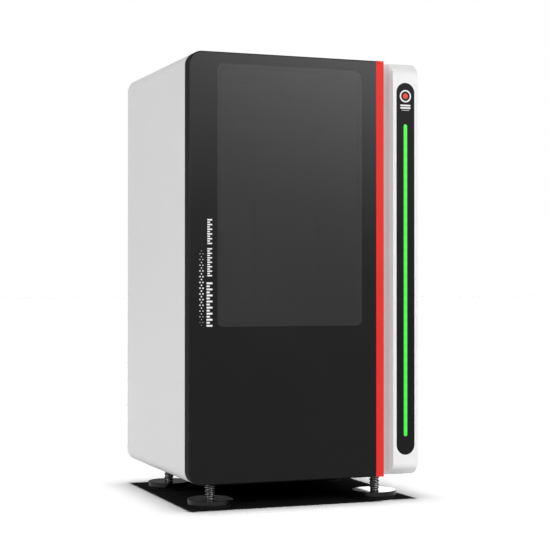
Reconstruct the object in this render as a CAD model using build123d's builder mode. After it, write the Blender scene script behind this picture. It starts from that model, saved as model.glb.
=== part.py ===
from build123d import *
import math
import os

# Resin printer: a tall cabinet on four levelling feet, a hinged door with a tinted window and a full-height
# pull strip, a lit status column, and inside it the vat, the screen, the light engine and the lifting axis.
# Millimetres. +Z is up, the door faces -Y, and the origin is on the floor under the middle of the object.

# ---- overall size ----
WIDTH = 443.0
DEPTH = 405.0
HEIGHT = 800.0
FOOT_LIFT = 45.0            # underside of the cabinet above the floor
SIDE = WIDTH / 2
FRONT = -DEPTH / 2
BACK = DEPTH / 2
BASE = FOOT_LIFT
TOP = HEIGHT
MIDDLE = (BASE + TOP) / 2
BODY_HEIGHT = TOP - BASE

# ---- cabinet ----
SKIN = 3.0                  # sheet thickness of the cabinet
CORNER = 23.5               # rounding of the two left corners, seen from the front
SMALL_CORNER = 5.0          # rounding of the two right corners
EDGE_ROUND = 2.0            # rounding of the cabinet's front edge
DOOR_THICK = 25.0
DOOR_GAP = 3.0              # room for the seal between the door and the cabinet
DOOR_BACK = FRONT + DOOR_THICK
FACE = DOOR_BACK + DOOR_GAP                 # front face of the cabinet
PANEL_DEPTH = 2.5           # the rear panel lies this far in from the cabinet's back edge
REAR_FACE = BACK - PANEL_DEPTH
PANEL = 2.0                 # thickness of the rear panel
INSIDE_Y = (FACE + SKIN, REAR_FACE - PANEL - SKIN)      # between the front frame and the rear fold
FLANGE = 12.0               # width of the fold that the rear panel is screwed to
RUN = 0.05                  # radial clearance of a shaft in its hole

# ---- door ----
STRIP_LEFT = -SIDE + 355.6
STRIP_WIDTH = 15.1
STRIP_RIGHT = STRIP_LEFT + STRIP_WIDTH
DOOR_SKIN = 4.0
DOOR_RIM = 3.0
PANE_X = (-SIDE + 51.6, -SIDE + 327.0)
PANE_Z = (BASE + 275.0, BASE + 735.0)
PANE_CORNER = 10.0
SIGHT_BORDER = 9.3          # blind border behind the pane's edge
LINER = 2.0
LINER_LEFT = -196.0
HINGE_X = -SIDE + 7.0
HINGE_Y = DOOR_BACK - 8.0
HINGE_HEIGHTS = (150.0, 690.0)
KNUCKLE = 3.5
PIN = 1.5
KNUCKLE_HALF = 8.0

# ---- status column ----
COLUMN_LEFT = -SIDE + 393.3
COLUMN_WIDTH = SIDE - COLUMN_LEFT
COLUMN_FRONT = FRONT + 8.0
COLUMN_MID = COLUMN_LEFT + COLUMN_WIDTH / 2
COLUMN_SLOPE = (17.0, 15.0)                 # depth and height of the slopes at its top and bottom
COLUMN_ROUND = 13.0         # rounding between its face and the slopes
COLUMN_WALL = 3.0
CAPSULE_WIDTH = 36.5
CAPSULE_Z = (BASE + 36.5, BASE + 719.2)
LIGHT_WIDTH = 7.2
LIGHT_Z = (BASE + 70.5, BASE + 643.0)

# ---- chamber and lifting axis ----
DECK_TOP = 318.0
DECK = 4.0
MOUTH_X = (-190.0, 125.0)
MOUTH_Z = (320.0, 778.0)
CHAMBER_X = (-204.0, 138.0)
CHAMBER_BACK = 96.0
CHAMBER_TOP = 788.0
LINING = 2.0
PRINT_Y = -44.5             # middle of the screen, the vat and the platform
PLATFORM = (160.0, 100.0, 18.0)
PLATFORM_UNDERSIDE = 676.0
SCREW_Y = 77.0
SCREW_R = 5.0
RAIL_X = 40.0
RAIL = (15.0, 9.0)
BACKPLATE = 8.0
CARRIAGE_Z = (684.0, 764.0)
CARRIAGE_Y = (58.0, 66.0)
ARM_Z = (722.0, 742.0)

# ---- vat ----
VAT_INNER = (172.0, 118.0)
VAT_WALL = 7.0
VAT_CORNER = 8.0            # rounding of the vat's inner corners
VAT_TOP = 360.0
SCREEN_TOP = DECK_TOP + 2.0
FILM = 0.3
CLAMP_X = 106.5
CLAMP_STUD = 4.0
FLANGE_Z = (324.0, 332.0)

# ---- feet ----
FOOT_X = (-SIDE + 54.0, -SIDE + 374.0)
FOOT_Y = (FRONT + 50.0, FRONT + 300.0)
PAD_R = 40.0
PAD_Z = (6.0, 15.0)
RUBBER_R = 37.0
STUD_R = 9.0
STUD_CORE = 7.4
STUD_TOP = 92.0
THREAD_PITCH = 6.5
BASE_PLATE = 6.0
BASE_PLATE_TOP = BASE + SKIN + BASE_PLATE

# ---- rear ----
FAN = (-60.0, 205.0)        # middle of the fan, across and up
FAN_SIZE = 120.0
FAN_DEEP = 25.0
FAN_BORE = 57.5
INLET = (150.0, 145.0)      # middle of the mains module
INLET_SIZE = (48.0, 80.0)
SOCKET_MID = INLET[1] - 20.0
SWITCH_MID = INLET[1] + 20.0
SWITCH_TILT = 7.0
SWITCH_AXIS_Y = 195.0
PORTS = (150.0, 235.0)

os.makedirs("parts", exist_ok=True)


def upright(y):
    """The plane facing the front at depth y: across is +X and up is +Z."""
    return Plane.XZ.offset(-y)


def slab(x, y, z, mode=Mode.ADD):
    """A block between two limits along each axis, in the open part."""
    middle = ((x[0] + x[1]) / 2, (y[0] + y[1]) / 2, (z[0] + z[1]) / 2)
    with Locations(middle):
        Box(x[1] - x[0], y[1] - y[0], z[1] - z[0], mode=mode)


def rod(radius, x, y, z, mode=Mode.ADD):
    """An upright cylinder between two heights, in the open part."""
    with Locations((x, y, (z[0] + z[1]) / 2)):
        Cylinder(radius, z[1] - z[0], mode=mode)


def window(x, z, corner):
    """A rectangle with rounded corners, seen from the front."""
    with BuildSketch() as outline:
        with Locations(((x[0] + x[1]) / 2, (z[0] + z[1]) / 2)):
            RectangleRounded(x[1] - x[0], z[1] - z[0], corner)
    return outline.sketch


def front_outline(x, z, left_corner, right_corner):
    """A rectangle seen from the front whose left and right corners differ; 0 leaves a corner square."""
    with BuildSketch() as outline:
        with Locations(((x[0] + x[1]) / 2, (z[0] + z[1]) / 2)):
            Rectangle(x[1] - x[0], z[1] - z[0])
        sides = outline.vertices().group_by(Axis.X)
        if left_corner:
            fillet(sides[0], radius=left_corner)
        if right_corner:
            fillet(sides[-1], radius=right_corner)
    return outline.sketch


def cabinet_outline(inset):
    """The cabinet seen from the front, drawn in by an inset from its skin."""
    x = (-SIDE + inset, SIDE - inset)
    z = (BASE + inset, TOP - inset)
    return front_outline(x, z, CORNER - inset, max(SMALL_CORNER - inset, 1.0))


def save(piece, name):
    """Label a finished piece and write it as its own node."""
    piece.part.label = name
    export_step(piece.part, f"parts/{name}.step")


def grow(limits, margin):
    """Two limits moved outwards by a margin."""
    return (limits[0] - margin, limits[1] + margin)


def band(middle, half):
    """The two limits either side of a middle."""
    return (middle - half, middle + half)


FOOT_PLACES = {
    "front_left": (FOOT_X[0], FOOT_Y[0]),
    "front_right": (FOOT_X[1], FOOT_Y[0]),
    "rear_left": (FOOT_X[0], FOOT_Y[1]),
    "rear_right": (FOOT_X[1], FOOT_Y[1]),
}

# ======== cabinet ========

# The skin: a sleeve round the cabinet, folded in at the back, with clearance holes for the feet.
STUD_HOLE = 12.0
with BuildPart() as cabinet_shell:
    with BuildSketch(upright(FACE)):
        add(cabinet_outline(0))
    extrude(amount=-(BACK - FACE))
    front_rim = cabinet_shell.faces().sort_by(Axis.Y)[0].outer_wire().edges()
    fillet(front_rim, radius=EDGE_ROUND)
    with BuildSketch(upright(FACE)):
        add(cabinet_outline(SKIN))
    extrude(amount=-(BACK - FACE), mode=Mode.SUBTRACT)
    with BuildSketch(upright(REAR_FACE - PANEL - SKIN)):
        add(cabinet_outline(SKIN))
        add(cabinet_outline(SKIN + FLANGE), mode=Mode.SUBTRACT)
    extrude(amount=-SKIN)
    for x, y in FOOT_PLACES.values():
        rod(STUD_HOLE, x, y, (BASE, BASE + SKIN), Mode.SUBTRACT)
save(cabinet_shell, "cabinet_shell")

# The front frame: a plate inside the skin's front edge, with the mouth of the print chamber.
with BuildPart() as front_frame:
    with BuildSketch(upright(FACE)):
        add(cabinet_outline(SKIN))
        add(window(MOUTH_X, MOUTH_Z, PANE_CORNER), mode=Mode.SUBTRACT)
    extrude(amount=-SKIN)
save(front_frame, "front_frame")

# The base plate: thick sheet on the cabinet's floor, tapped for the feet.
with BuildPart() as base_plate:
    slab((-SIDE + CORNER, SIDE - SMALL_CORNER), INSIDE_Y, (BASE + SKIN, BASE_PLATE_TOP))
    for x, y in FOOT_PLACES.values():
        rod(STUD_R + RUN, x, y, (BASE + SKIN, BASE_PLATE_TOP), Mode.SUBTRACT)
save(base_plate, "base_plate")

# The deck: the shelf between the print chamber and the lower bay, open under the screen.
DECK_WINDOW = (150.0, 96.0)
DECK_LEFT = -214.0
SCREW_HOLE = 9.0
PILLAR_R = 4.0
PILLAR_STEP = 47.0          # between the four pillars that the motor hangs from
MOTOR_TOP = 265.0
with BuildPart() as deck_plate:
    slab((DECK_LEFT, SIDE - SKIN), INSIDE_Y, (DECK_TOP - DECK, DECK_TOP))
    with Locations((0, PRINT_Y, DECK_TOP - DECK / 2)):
        Box(*DECK_WINDOW, DECK, mode=Mode.SUBTRACT)
    rod(SCREW_HOLE, 0, SCREW_Y, (DECK_TOP - DECK, DECK_TOP), Mode.SUBTRACT)
    with BuildSketch(Plane.XY.offset(MOTOR_TOP)):
        with Locations((0, SCREW_Y)):
            with GridLocations(PILLAR_STEP, PILLAR_STEP, 2, 2):
                Circle(PILLAR_R)
    extrude(amount=DECK_TOP - DECK - MOTOR_TOP)
save(deck_plate, "deck_plate")

# The chamber lining: left, right and back walls and a ceiling, folded from one sheet.
with BuildPart() as chamber_liner:
    slab(grow(CHAMBER_X, LINING), (FACE + SKIN, CHAMBER_BACK + LINING), (DECK_TOP, CHAMBER_TOP + LINING))
    slab(CHAMBER_X, (FACE, CHAMBER_BACK), (BASE, CHAMBER_TOP), Mode.SUBTRACT)
    outer_edges = chamber_liner.edges().filter_by(Axis.Z).group_by(Axis.Y)[-1]
    fillet(outer_edges, radius=LINING)
save(chamber_liner, "chamber_liner")

# The rear panel: a plate with vents, the fan's grille, and cut-outs for the mains module and the ports.
VENT = (3.4, 58.0)
VENT_STEP = 9.0
VENT_COUNT = 30
VENT_HEIGHTS = (690.0, 620.0)
GRILLE_RINGS = (16.0, 26.0, 36.0, 46.0, 56.0)
GRILLE_WEB = 3.0
SCREW_SHANK = 1.5
SCREW_INSET = SKIN + FLANGE / 2
SCREW_HEIGHTS = (BASE + 60.0, 300.0, 545.0, TOP - 60.0)
SCREW_PLACES = [(side * (SIDE - SCREW_INSET), height) for side in (-1, 1) for height in SCREW_HEIGHTS]
SCREW_PLACES += [(x, height) for x in (-80.0, 80.0) for height in (BASE + SCREW_INSET, TOP - SCREW_INSET)]
PORT_CUT = (20.0, 46.0)
INLET_LAP = 4.0             # the mains module's flange laps the panel by this much
with BuildPart() as rear_panel:
    with BuildSketch(upright(REAR_FACE - PANEL)):
        add(cabinet_outline(SKIN))
        for height in VENT_HEIGHTS:
            with Locations((0, height)):
                with GridLocations(VENT_STEP, 0, VENT_COUNT, 1):
                    SlotOverall(VENT[1], VENT[0], rotation=90, mode=Mode.SUBTRACT)
        with Locations(FAN):
            for outer, inner in zip(GRILLE_RINGS[1:], GRILLE_RINGS[:-1]):
                Circle(outer, mode=Mode.SUBTRACT)
                Circle(inner + GRILLE_WEB)
                Circle(inner, mode=Mode.SUBTRACT)
            Circle(GRILLE_RINGS[0])
            for turn in (45, -45):
                Rectangle(2 * GRILLE_RINGS[-1] + GRILLE_WEB, 2 * GRILLE_WEB, rotation=turn)
        with Locations(INLET):
            Rectangle(INLET_SIZE[0] - 2 * INLET_LAP, INLET_SIZE[1] - 2 * INLET_LAP, mode=Mode.SUBTRACT)
        with Locations(PORTS):
            Rectangle(*PORT_CUT, mode=Mode.SUBTRACT)
        with Locations(*SCREW_PLACES):
            Circle(SCREW_SHANK, mode=Mode.SUBTRACT)
    extrude(amount=-PANEL)
save(rear_panel, "rear_panel")

# The rear panel's button-head screws.
HEAD_R = 3.2
HEAD_HEIGHT = 1.9
HEAD_TAPER = 14.0
HEX_SOCKET = 1.1
with BuildPart() as panel_screws:
    with BuildSketch(upright(REAR_FACE - PANEL)):
        with Locations(*SCREW_PLACES):
            Circle(SCREW_SHANK)
    extrude(amount=-PANEL)
    with BuildSketch(upright(REAR_FACE)):
        with Locations(*SCREW_PLACES):
            Circle(HEAD_R)
    extrude(amount=-HEAD_HEIGHT, taper=HEAD_TAPER)
    with BuildSketch(upright(REAR_FACE + HEAD_HEIGHT / 2)):
        with Locations(*SCREW_PLACES):
            RegularPolygon(HEX_SOCKET, 6)
    extrude(amount=-HEAD_HEIGHT, mode=Mode.SUBTRACT)
save(panel_screws, "panel_screws")

# ======== status column ========

with BuildPart() as front_column:
    with BuildSketch(upright(COLUMN_FRONT)):
        add(front_outline((COLUMN_LEFT, SIDE), (BASE, TOP), 0, SMALL_CORNER))
    extrude(amount=-(FACE - COLUMN_FRONT))
    with BuildSketch(Plane.YZ.offset(COLUMN_LEFT)) as side_profile:
        slope_y = COLUMN_FRONT + COLUMN_SLOPE[0]
        face_z = grow((BASE, TOP), -COLUMN_SLOPE[1])
        with BuildLine():
            Polyline((FACE, BASE), (slope_y, BASE), (COLUMN_FRONT, face_z[0]), (COLUMN_FRONT, face_z[1]),
                     (slope_y, TOP), (FACE, TOP), close=True)
        make_face()
        fillet(side_profile.vertices().group_by(Axis.X)[0], radius=COLUMN_ROUND)
    extrude(amount=COLUMN_WIDTH, mode=Mode.INTERSECT)
    slab((COLUMN_LEFT + COLUMN_WALL, SIDE - COLUMN_WALL), (COLUMN_FRONT + COLUMN_WALL, FACE),
         grow(face_z, -COLUMN_WALL), Mode.SUBTRACT)
    with BuildSketch(upright(COLUMN_FRONT)):
        with Locations((COLUMN_MID, sum(CAPSULE_Z) / 2)):
            SlotOverall(CAPSULE_Z[1] - CAPSULE_Z[0], CAPSULE_WIDTH, rotation=90)
    extrude(amount=-COLUMN_WALL, mode=Mode.SUBTRACT)
save(front_column, "front_column")

# The black capsule lens, flush in the column, with a slot for the light strip.
with BuildPart() as status_panel:
    with BuildSketch(upright(COLUMN_FRONT)):
        with Locations((COLUMN_MID, sum(CAPSULE_Z) / 2)):
            SlotOverall(CAPSULE_Z[1] - CAPSULE_Z[0], CAPSULE_WIDTH, rotation=90)
        with Locations((COLUMN_MID, sum(LIGHT_Z) / 2)):
            SlotOverall(LIGHT_Z[1] - LIGHT_Z[0], LIGHT_WIDTH, rotation=90, mode=Mode.SUBTRACT)
    extrude(amount=-COLUMN_WALL)
save(status_panel, "status_panel")

# The diffuser of the light, flush with the lens and a little deeper than it.
LIGHT_TAIL = 1.0
with BuildPart() as light_strip:
    with BuildSketch(upright(COLUMN_FRONT)):
        with Locations((COLUMN_MID, sum(LIGHT_Z) / 2)):
            SlotOverall(LIGHT_Z[1] - LIGHT_Z[0], LIGHT_WIDTH, rotation=90)
    extrude(amount=-(COLUMN_WALL + LIGHT_TAIL))
save(light_strip, "light_strip")

# The strip's circuit board, with a row of lamps behind the diffuser.
LAMP = 3.5
LAMP_HEIGHT = 1.4
LAMP_STEP = 16.0
LAMP_COUNT = 35
STRIP_BOARD_HALF = 7.0
STRIP_BOARD_SPARE = 6.0
STRIP_BOARD_Y = (COLUMN_FRONT + 6.0, COLUMN_FRONT + 7.6)
with BuildPart() as led_board:
    slab(band(COLUMN_MID, STRIP_BOARD_HALF), STRIP_BOARD_Y, grow(LIGHT_Z, STRIP_BOARD_SPARE))
    with BuildSketch(upright(STRIP_BOARD_Y[0])):
        with Locations((COLUMN_MID, sum(LIGHT_Z) / 2)):
            with GridLocations(0, LAMP_STEP, 1, LAMP_COUNT):
                Rectangle(LAMP, LAMP)
    extrude(amount=LAMP_HEIGHT)
save(led_board, "led_board")

# ======== door ========

# The door's outer moulding: a shallow tray, open at the back, with the window cut through its face.
DOOR_CHAMFER = 1.8
with BuildPart() as door_shell:
    with BuildSketch(upright(FRONT)):
        add(front_outline((-SIDE, STRIP_LEFT), (BASE, TOP), CORNER, 0))
    extrude(amount=-DOOR_THICK)
    front_loop = door_shell.faces().sort_by(Axis.Y)[0].outer_wire().edges()
    chamfer(front_loop.sort_by(Axis.X)[:-1], length=DOOR_CHAMFER)
    with BuildSketch(upright(FRONT + DOOR_SKIN)):
        inner_x = (-SIDE + DOOR_RIM, STRIP_LEFT - DOOR_RIM)
        add(front_outline(inner_x, (BASE + DOOR_RIM, TOP - DOOR_RIM), CORNER - DOOR_RIM, 0))
    extrude(amount=-DOOR_THICK, mode=Mode.SUBTRACT)
    with BuildSketch(upright(FRONT)):
        add(window(PANE_X, PANE_Z, PANE_CORNER))
    extrude(amount=-DOOR_SKIN, mode=Mode.SUBTRACT)
save(door_shell, "door_shell")

# The tinted pane, flush with the door's face.
with BuildPart() as door_window:
    with BuildSketch(upright(FRONT)):
        add(window(PANE_X, PANE_Z, PANE_CORNER))
    extrude(amount=-DOOR_SKIN)
save(door_window, "door_window")

# The door's inner panel, with a deep frame that carries the pane and blinds its border.
LINER_GAP = 0.5
LINER_LAP = 3.0             # the deep frame laps the moulding round the pane by this much
SIGHT_CORNER = 6.0
with BuildPart() as door_liner:
    slab((LINER_LEFT, STRIP_LEFT - DOOR_RIM), (DOOR_BACK - LINER, DOOR_BACK),
         grow((BASE, TOP), -DOOR_RIM - LINER_GAP))
    with BuildSketch(upright(FRONT + DOOR_SKIN)):
        add(window(grow(PANE_X, LINER_LAP), grow(PANE_Z, LINER_LAP), PANE_CORNER))
    extrude(amount=-(DOOR_THICK - DOOR_SKIN))
    with BuildSketch(upright(FRONT + DOOR_SKIN)):
        add(window(grow(PANE_X, -SIGHT_BORDER), grow(PANE_Z, -SIGHT_BORDER), SIGHT_CORNER))
    extrude(amount=-DOOR_THICK, mode=Mode.SUBTRACT)
save(door_liner, "door_liner")

# The pull strip: a full-height bar on the door's free edge, hooked behind for the fingers.
HOOK_LIP = 7.0
HOOK_DEEP = 8.0
HOOK_ROOT = 2.5
LIP_ROUND = 0.8
with BuildPart() as handle_strip:
    slab((STRIP_LEFT, STRIP_RIGHT), (FRONT, DOOR_BACK), (BASE, TOP))
    slab((STRIP_RIGHT - HOOK_DEEP, STRIP_RIGHT), (FRONT + HOOK_LIP, DOOR_BACK), (BASE, TOP), Mode.SUBTRACT)
    root_edge = handle_strip.edges().filter_by(Axis.Z).group_by(Axis.X)[1].sort_by(Axis.Y)[0]
    fillet(root_edge, radius=HOOK_ROOT)
    lip_edges = handle_strip.edges().filter_by(Axis.Z).group_by(Axis.X)[-1]
    fillet(lip_edges, radius=LIP_ROUND)
save(handle_strip, "handle_strip")

# The rubber seal on the door's back, round the chamber's mouth.
SEAL_CLEAR = 0.2
SEAL_X = (-195.0, 130.0)
SEAL_Z = (313.0, 785.0)
SEAL_WIDTH = 5.0
SEAL_CORNER = 12.0
with BuildPart() as door_seal:
    with BuildSketch(upright(DOOR_BACK)):
        add(window(SEAL_X, SEAL_Z, SEAL_CORNER))
        add(window(grow(SEAL_X, -SEAL_WIDTH), grow(SEAL_Z, -SEAL_WIDTH), SEAL_CORNER - SEAL_WIDTH),
            mode=Mode.SUBTRACT)
    extrude(amount=-(DOOR_GAP - SEAL_CLEAR))
save(door_seal, "door_seal")

# Two magnets on the door's back; they hold on the steel front frame.
MAGNET_X = (104.0, 124.0)
MAGNET_HALF = 20.0
MAGNET_HEIGHTS = (110.0, 260.0)
MAGNET_CLEAR = 0.3
MAGNET_ROUND = 3.0
with BuildPart() as door_magnets:
    for height in MAGNET_HEIGHTS:
        slab(MAGNET_X, (DOOR_BACK, FACE - MAGNET_CLEAR), band(height, MAGNET_HALF))
    fillet(door_magnets.edges().filter_by(Axis.Y), radius=MAGNET_ROUND)
save(door_magnets, "door_magnets")

# Hinges: a swan-necked bracket on the cabinet reaches into the door's hollow edge and carries one knuckle.
# Its arm leaves the knuckle's front half, so the door's rim swings in behind the arm as the door opens.
NECK_X = (-202.0, -198.5)
ARM_Y = (HINGE_Y - KNUCKLE, HINGE_Y - 0.6)
BRACKET_FOOT = 1.5
BRACKET_FOOT_LEFT = -207.0
BRACKET_FOOT_REACH = 12.0
with BuildPart() as hinge_brackets:
    for height in HINGE_HEIGHTS:
        tall = band(height, KNUCKLE_HALF)
        rod(KNUCKLE, HINGE_X, HINGE_Y, tall)
        slab((HINGE_X, NECK_X[1]), ARM_Y, tall)
        slab(NECK_X, (ARM_Y[0], FACE), tall)
        slab((BRACKET_FOOT_LEFT, NECK_X[1]), (FACE - BRACKET_FOOT, FACE), grow(tall, BRACKET_FOOT_REACH))
        rod(PIN, HINGE_X, HINGE_Y, tall, Mode.SUBTRACT)
save(hinge_brackets, "hinge_brackets")

PIN_HALF = 20.0
with BuildPart() as hinge_pins:
    for height in HINGE_HEIGHTS:
        rod(PIN, HINGE_X, HINGE_Y, band(height, PIN_HALF))
save(hinge_pins, "hinge_pins")

# The door's half of each hinge: two blocks in the corner of the moulding, above and below the knuckle.
LEAF_TALL = PIN_HALF - KNUCKLE_HALF - 0.3
LEAF_ROUND = 3.0
with BuildPart() as hinge_leaves:
    for height in HINGE_HEIGHTS:
        for low in (height - PIN_HALF, height + PIN_HALF - LEAF_TALL):
            tall = (low, low + LEAF_TALL)
            slab((-SIDE + DOOR_RIM, HINGE_X + KNUCKLE), (FRONT + DOOR_SKIN, HINGE_Y + KNUCKLE), tall)
            rod(PIN + RUN, HINGE_X, HINGE_Y, tall, Mode.SUBTRACT)
    outer_corners = hinge_leaves.edges().filter_by(Axis.Z).group_by(Axis.Y)[-1]
    fillet(outer_corners, radius=LEAF_ROUND)
save(hinge_leaves, "hinge_leaves")

# ======== screen, vat and light engine ========

# The masking screen under its glass, over the opening in the deck.
SCREEN_MARGIN = 1.5
SCREEN_CHAMFER = 0.5
with BuildPart() as lcd_screen:
    with BuildSketch(Plane.XY.offset(DECK_TOP)):
        with Locations((0, PRINT_Y)):
            RectangleRounded(VAT_INNER[0] - 2 * SCREEN_MARGIN, VAT_INNER[1] - 2 * SCREEN_MARGIN, VAT_CORNER)
    extrude(amount=SCREEN_TOP - DECK_TOP)
    chamfer(lcd_screen.faces().sort_by(Axis.Z)[-1].edges(), length=SCREEN_CHAMFER)
save(lcd_screen, "lcd_screen")

# The vat: four walls with a pouring lip and a slotted ear on each side for the clamps.
EAR_HALF = 15.0
EAR_END = CLAMP_X + 11.0
EAR_ROUND = 6.0
EAR_SLOT = CLAMP_STUD + 0.5
VAT_OUTER = (VAT_INNER[0] + 2 * VAT_WALL, VAT_INNER[1] + 2 * VAT_WALL)
VAT_OUTER_CORNER = 13.0
VAT_CHAMFER = 1.5
with BuildPart() as resin_vat:
    with BuildSketch(Plane.XY.offset(DECK_TOP)):
        with Locations((0, PRINT_Y)):
            RectangleRounded(*VAT_OUTER, VAT_OUTER_CORNER)
    extrude(amount=VAT_TOP - DECK_TOP)
    slab(band(0, EAR_END), band(PRINT_Y, EAR_HALF), FLANGE_Z)
    ear_corners = resin_vat.edges().filter_by(Axis.Z)
    fillet(ear_corners.group_by(Axis.X)[0] + ear_corners.group_by(Axis.X)[-1], radius=EAR_ROUND)
    with BuildSketch(Plane.XY.offset(DECK_TOP)):
        with Locations((0, PRINT_Y)):
            RectangleRounded(*VAT_INNER, VAT_CORNER)
    extrude(amount=VAT_TOP - DECK_TOP, mode=Mode.SUBTRACT)
    chamfer(resin_vat.faces().sort_by(Axis.Z)[-1].edges(), length=VAT_CHAMFER)
    for side in (-1, 1):
        slab(band(side * CLAMP_X, EAR_SLOT), (PRINT_Y, PRINT_Y + EAR_HALF), FLANGE_Z, Mode.SUBTRACT)
        rod(EAR_SLOT, side * CLAMP_X, PRINT_Y, FLANGE_Z, Mode.SUBTRACT)
save(resin_vat, "resin_vat")

# The clear release film stretched across the vat's bottom, just above the screen.
FILM_GAP = 0.1
with BuildPart() as vat_film:
    with BuildSketch(Plane.XY.offset(SCREEN_TOP + FILM_GAP)):
        with Locations((0, PRINT_Y)):
            RectangleRounded(*VAT_INNER, VAT_CORNER)
    extrude(amount=FILM)
save(vat_film, "vat_film")

# The two studs on the deck that the vat's ears slide over.
STUD_ABOVE_EAR = 12.0
STUD_CHAMFER = 0.8
with BuildPart() as vat_studs:
    for side in (-1, 1):
        rod(CLAMP_STUD, side * CLAMP_X, PRINT_Y, (DECK_TOP, FLANGE_Z[1] + STUD_ABOVE_EAR))
    chamfer(vat_studs.faces().filter_by(Axis.Z).group_by(Axis.Z)[-1].edges(), length=STUD_CHAMFER)
save(vat_studs, "vat_studs")

KNOB_LOBES = 6
SCALLOP_PLACE = 1.14        # middle of each scallop, in knob radii
SCALLOP = 0.3               # radius of each scallop, in knob radii
KNOB_ROUND = 1.5
KNOB_GAP = 0.2


def lobed_knob(x, y, low, radius, height, stud, bore_height):
    """A hand knob with scalloped lobes and a blind hole from below for its stud."""
    with BuildPart() as knob:
        with BuildSketch(Plane.XY.offset(low)):
            with Locations((x, y)):
                Circle(radius)
                with PolarLocations(radius * SCALLOP_PLACE, KNOB_LOBES, start_angle=180 / KNOB_LOBES):
                    Circle(radius * SCALLOP, mode=Mode.SUBTRACT)
        extrude(amount=height)
        fillet(knob.faces().sort_by(Axis.Z)[-1].edges(), radius=KNOB_ROUND)
        rod(stud + RUN, x, y, (low, low + bore_height), Mode.SUBTRACT)
    return knob


VAT_KNOB_R = 12.5
VAT_KNOB_HEIGHT = 18.0
VAT_KNOB_BORE = STUD_ABOVE_EAR + 1.0
for side, name in ((-1, "vat_knob_left"), (1, "vat_knob_right")):
    vat_knob = lobed_knob(side * CLAMP_X, PRINT_Y, FLANGE_Z[1] + KNOB_GAP, VAT_KNOB_R, VAT_KNOB_HEIGHT,
                          CLAMP_STUD, VAT_KNOB_BORE)
    save(vat_knob, name)

# The light engine: a hood under the screen, open at the top.
HOOD_X = (-100.0, 100.0)
HOOD_Y = (-110.0, 20.0)
HOOD_Z = (192.0, DECK_TOP - DECK)
HOOD_WALL = 2.0
HOOD_FLOOR = 3.0
HOOD_INNER_X = grow(HOOD_X, -HOOD_WALL)
HOOD_INNER_Y = grow(HOOD_Y, -HOOD_WALL)
HOOD_MIDDLE = sum(HOOD_Y) / 2
EMITTER_PITCH = (36.0, 34.0)
EMITTER_GRID = (5, 3)
EMITTER_R = 8.0
EMITTER_HEIGHT = 5.0
with BuildPart() as light_engine:
    slab(HOOD_X, HOOD_Y, HOOD_Z)
    slab(HOOD_INNER_X, HOOD_INNER_Y, (HOOD_Z[0] + HOOD_FLOOR, HOOD_Z[1]), Mode.SUBTRACT)
    with Locations((0, HOOD_MIDDLE, HOOD_Z[0] + HOOD_FLOOR)):
        with GridLocations(*EMITTER_PITCH, *EMITTER_GRID):
            Cylinder(EMITTER_R, EMITTER_HEIGHT)
save(light_engine, "light_engine")

# The collimating lens plate, half way up the hood, with a low cone over each emitter.
LENS_Z = (253.5, 256.5)
LENS_CONE = (14.0, 9.0, 4.0)
with BuildPart() as collimator_lens:
    slab(HOOD_INNER_X, HOOD_INNER_Y, LENS_Z)
    with Locations((0, HOOD_MIDDLE, LENS_Z[1])):
        with GridLocations(*EMITTER_PITCH, *EMITTER_GRID):
            Cone(*LENS_CONE, align=(Align.CENTER, Align.CENTER, Align.MIN))
save(collimator_lens, "collimator_lens")

# The heatsink under the emitters, with its fins downwards.
SINK_X = (-92.0, 92.0)
SINK_Y = (-102.0, 12.0)
SINK_Z = (140.0, HOOD_Z[0])
SINK_BASE = 7.0
FIN = 2.5
FIN_COUNT = 15
FIN_STEP = 12.0
with BuildPart() as heatsink:
    slab(SINK_X, SINK_Y, (SINK_Z[1] - SINK_BASE, SINK_Z[1]))
    with BuildSketch(Plane.XY.offset(SINK_Z[0])):
        with Locations((0, sum(SINK_Y) / 2)):
            with GridLocations(FIN_STEP, 0, FIN_COUNT, 1):
                Rectangle(FIN, SINK_Y[1] - SINK_Y[0])
    extrude(amount=SINK_Z[1] - SINK_BASE - SINK_Z[0])
save(heatsink, "heatsink")

# ======== lifting axis ========

# The axis's back plate, upright on the deck against the chamber's back wall.
BACKPLATE_HALF = 65.0
BACKPLATE_CHAMFER = 1.0
with BuildPart() as z_backplate:
    slab(band(0, BACKPLATE_HALF), (CHAMBER_BACK - BACKPLATE, CHAMBER_BACK), (DECK_TOP, CHAMBER_TOP))
    chamfer(z_backplate.edges().filter_by(Axis.Z).group_by(Axis.Y)[0], length=BACKPLATE_CHAMFER)
save(z_backplate, "z_backplate")

# The two guide rails, grooved along both flanks.
RAIL_BACK = CHAMBER_BACK - BACKPLATE
RAIL_FRONT = RAIL_BACK - RAIL[1]
RAIL_Z = (DECK_TOP + 4.0, CHAMBER_TOP - 2.0)
GROOVE_DEEP = 2.0
GROOVE_Y = (RAIL_FRONT + 3.0, RAIL_FRONT + 6.0)
with BuildPart() as z_rails:
    for side in (-1, 1):
        slab(band(side * RAIL_X, RAIL[0] / 2), (RAIL_FRONT, RAIL_BACK), RAIL_Z)
        for flank in (-1, 1):
            slab(band(side * RAIL_X + flank * RAIL[0] / 2, GROOVE_DEEP), GROOVE_Y, RAIL_Z, Mode.SUBTRACT)
save(z_rails, "z_rails")

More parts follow.
